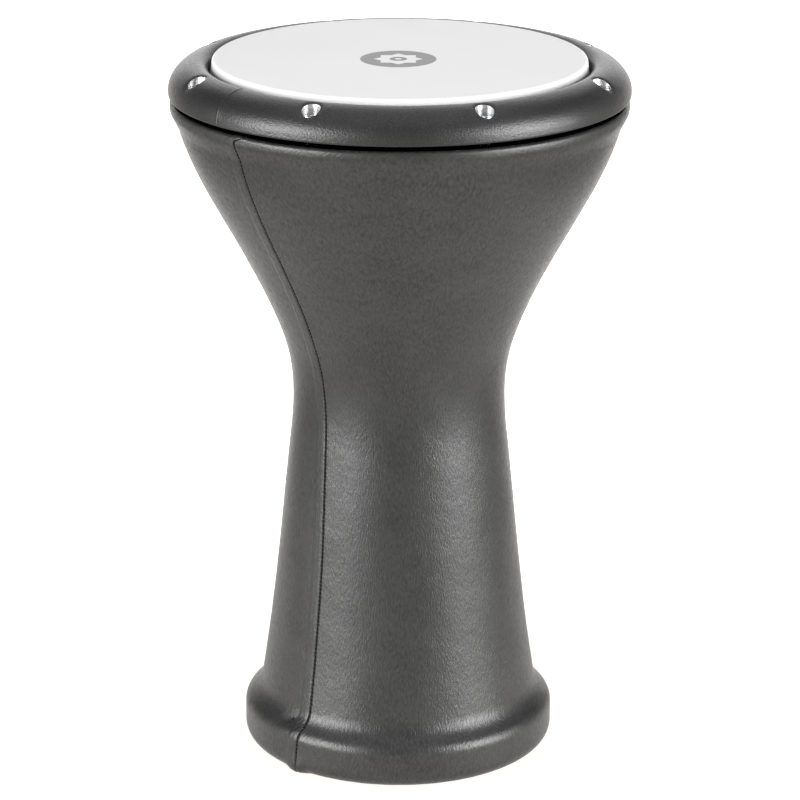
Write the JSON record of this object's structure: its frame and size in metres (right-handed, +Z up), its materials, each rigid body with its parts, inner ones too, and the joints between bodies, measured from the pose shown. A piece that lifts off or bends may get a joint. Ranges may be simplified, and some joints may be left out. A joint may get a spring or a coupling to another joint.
{
  "type": "darbuka",
  "caption": "Goblet drum with a leather-covered cast body, a film head and a tuning ring drawn down by hidden socket bolts.",
  "frame": {"origin": "centre of the foot's floor plane", "axes": "+Z up along the drum's axis to the head; -Y is the front; the cover's seam is at the front left, towards -X and -Y"},
  "size_m": [0.275, 0.275, 0.43],
  "materials": {
    "cast_shell": "as-cast, lightly blasted",
    "body_leather": "dark grey synthetic leather, fine pebble grain, satin",
    "thread": "black bonded thread",
    "insert_steel": "turned",
    "head_film": "smooth white film",
    "hoop_metal": "rolled",
    "resin": "cast resin",
    "ring_metal": "machined",
    "ring_leather": "dark grey synthetic leather, fine pebble grain, satin",
    "washer_steel": "zinc plated",
    "bolt_steel": "zinc plated"
  },
  "bodies": {
    "shell": {"shell": "cast_shell", "body_cover": "body_leather", "seam_stitching": "thread", "threaded_inserts": "insert_steel", "head_membrane": "head_film"},
    "tuning_ring": {"tuning_ring": "ring_metal", "ring_cover": "ring_leather", "bolt_washers": "washer_steel", "head_hoop": "hoop_metal", "hoop_resin": "resin"},
    "tuning_bolt_1": {"tuning_bolt_1": "bolt_steel"},
    "tuning_bolt_2": {"tuning_bolt_2": "bolt_steel"},
    "tuning_bolt_3": {"tuning_bolt_3": "bolt_steel"},
    "tuning_bolt_4": {"tuning_bolt_4": "bolt_steel"},
    "tuning_bolt_5": {"tuning_bolt_5": "bolt_steel"},
    "tuning_bolt_6": {"tuning_bolt_6": "bolt_steel"},
    "tuning_bolt_7": {"tuning_bolt_7": "bolt_steel"},
    "tuning_bolt_8": {"tuning_bolt_8": "bolt_steel"}
  },
  "joints": [
    {"name": "ring_tension", "type": "slide", "parent": "shell", "child": "tuning_ring", "axis": [0, 0, 1], "range_m": [-0.0015, 0.003], "deforming": ["head_membrane"]},
    {"name": "tuning_bolt_1_turn", "type": "hinge", "parent": "tuning_ring", "child": "tuning_bolt_1", "pos_m": [0.04772, -0.11812, 0.4141], "axis": [0, 0, 1], "range_deg": [-545, 1085]},
    {"name": "tuning_bolt_2_turn", "type": "hinge", "parent": "tuning_ring", "child": "tuning_bolt_2", "pos_m": [0.11727, -0.04978, 0.4141], "axis": [0, 0, 1], "range_deg": [-545, 1085]},
    {"name": "tuning_bolt_3_turn", "type": "hinge", "parent": "tuning_ring", "child": "tuning_bolt_3", "pos_m": [0.11812, 0.04772, 0.4141], "axis": [0, 0, 1], "range_deg": [-545, 1085]},
    {"name": "tuning_bolt_4_turn", "type": "hinge", "parent": "tuning_ring", "child": "tuning_bolt_4", "pos_m": [0.04978, 0.11727, 0.4141], "axis": [0, 0, 1], "range_deg": [-545, 1085]},
    {"name": "tuning_bolt_5_turn", "type": "hinge", "parent": "tuning_ring", "child": "tuning_bolt_5", "pos_m": [-0.04772, 0.11812, 0.4141], "axis": [0, 0, 1], "range_deg": [-545, 1085]},
    {"name": "tuning_bolt_6_turn", "type": "hinge", "parent": "tuning_ring", "child": "tuning_bolt_6", "pos_m": [-0.11727, 0.04978, 0.4141], "axis": [0, 0, 1], "range_deg": [-545, 1085]},
    {"name": "tuning_bolt_7_turn", "type": "hinge", "parent": "tuning_ring", "child": "tuning_bolt_7", "pos_m": [-0.11812, -0.04772, 0.4141], "axis": [0, 0, 1], "range_deg": [-545, 1085]},
    {"name": "tuning_bolt_8_turn", "type": "hinge", "parent": "tuning_ring", "child": "tuning_bolt_8", "pos_m": [-0.04978, -0.11727, 0.4141], "axis": [0, 0, 1], "range_deg": [-545, 1085]}
  ],
  "couplings": [
    {"joint": "tuning_bolt_1_turn", "follows": "ring_tension", "rad_per_m": 6283.2},
    {"joint": "tuning_bolt_2_turn", "follows": "ring_tension", "rad_per_m": 6283.2},
    {"joint": "tuning_bolt_3_turn", "follows": "ring_tension", "rad_per_m": 6283.2},
    {"joint": "tuning_bolt_4_turn", "follows": "ring_tension", "rad_per_m": 6283.2},
    {"joint": "tuning_bolt_5_turn", "follows": "ring_tension", "rad_per_m": 6283.2},
    {"joint": "tuning_bolt_6_turn", "follows": "ring_tension", "rad_per_m": 6283.2},
    {"joint": "tuning_bolt_7_turn", "follows": "ring_tension", "rad_per_m": 6283.2},
    {"joint": "tuning_bolt_8_turn", "follows": "ring_tension", "rad_per_m": 6283.2}
  ]
}
